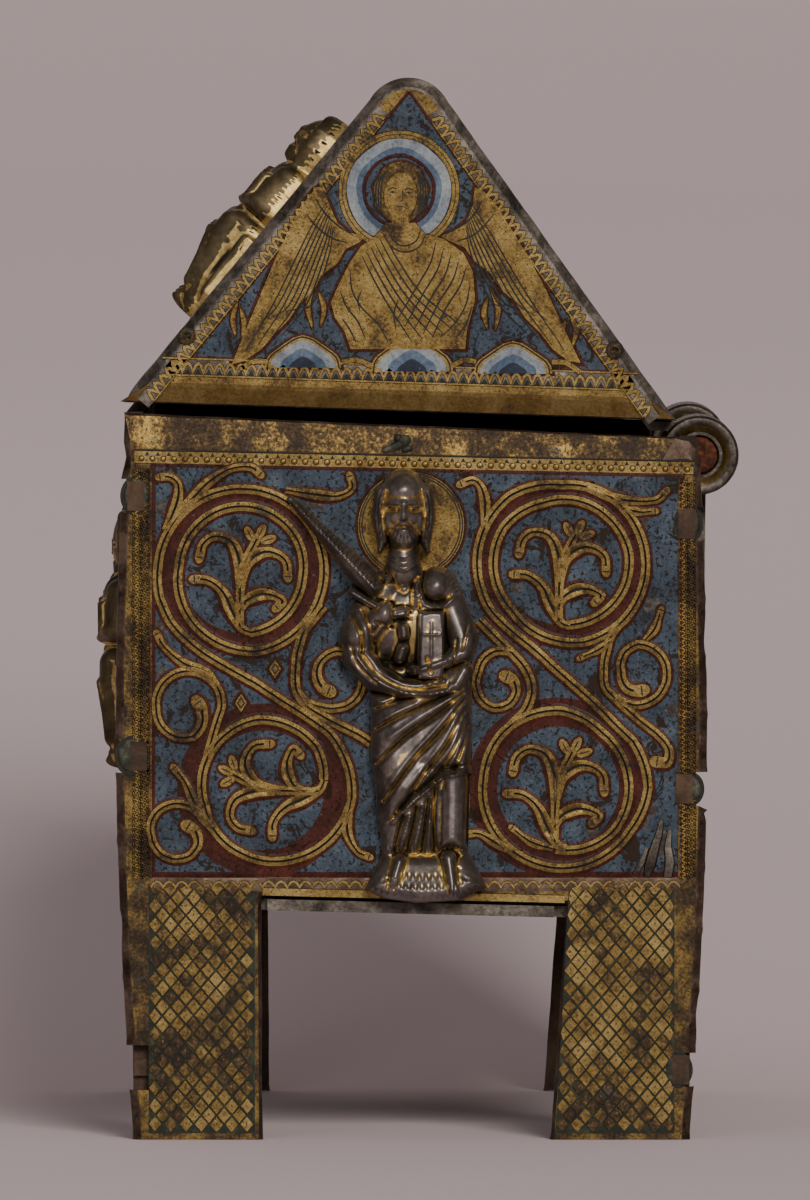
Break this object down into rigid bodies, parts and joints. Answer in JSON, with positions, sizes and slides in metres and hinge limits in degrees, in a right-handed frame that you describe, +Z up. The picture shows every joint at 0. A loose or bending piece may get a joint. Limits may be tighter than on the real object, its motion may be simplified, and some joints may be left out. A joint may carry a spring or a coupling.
{
  "type": "reliquary casket",
  "caption": "Small gabled casket of enamelled copper plates on leg feet, with relief figures applied to its sides and a lid hinged along the back.",
  "frame": {"origin": "on the ground, in the middle of the casket's outline", "axes": "+X along the casket's length to the end with the sword-bearing apostle, -Y to the front, +Z up"},
  "size_m": [0.1939, 0.0924, 0.1519],
  "materials": {
    "enamelled_copper": "champleve enamel in greyish blue with red outlines, on gilt copper worn brown at its edges",
    "gilt_copper": "cast and chased copper, gilding worn to brown on the high places and dark in the hollows",
    "bare_copper": "dark patinated copper",
    "iron": "rusted iron"
  },
  "bodies": {
    "box": {"end_plate_near": "enamelled_copper", "end_plate_far": "enamelled_copper", "front_plate": "enamelled_copper", "back_plate": "enamelled_copper", "bottom_plate": "bare_copper", "hinge_box_leaf_near": "bare_copper", "hinge_box_leaf_far": "bare_copper", "hinge_pin_near": "iron", "hinge_pin_far": "iron", "end_figure_near": "gilt_copper", "end_figure_far": "gilt_copper", "front_figure_1": "gilt_copper", "front_figure_2": "gilt_copper", "front_figure_3": "gilt_copper"},
    "lid": {"gable_plate_near": "enamelled_copper", "gable_plate_far": "enamelled_copper", "roof_plate_front": "enamelled_copper", "roof_plate_back": "enamelled_copper", "hinge_lid_leaf_near": "bare_copper", "hinge_lid_leaf_far": "bare_copper", "roof_figure_1": "gilt_copper", "roof_figure_2": "gilt_copper", "roof_figure_3": "gilt_copper"}
  },
  "joints": [
    {"name": "lid_hinge", "type": "hinge", "parent": "box", "child": "lid", "pos_m": [0, 0.04052, 0.0978], "axis": [-1, 0, 0], "range_deg": [0, 105]}
  ]
}
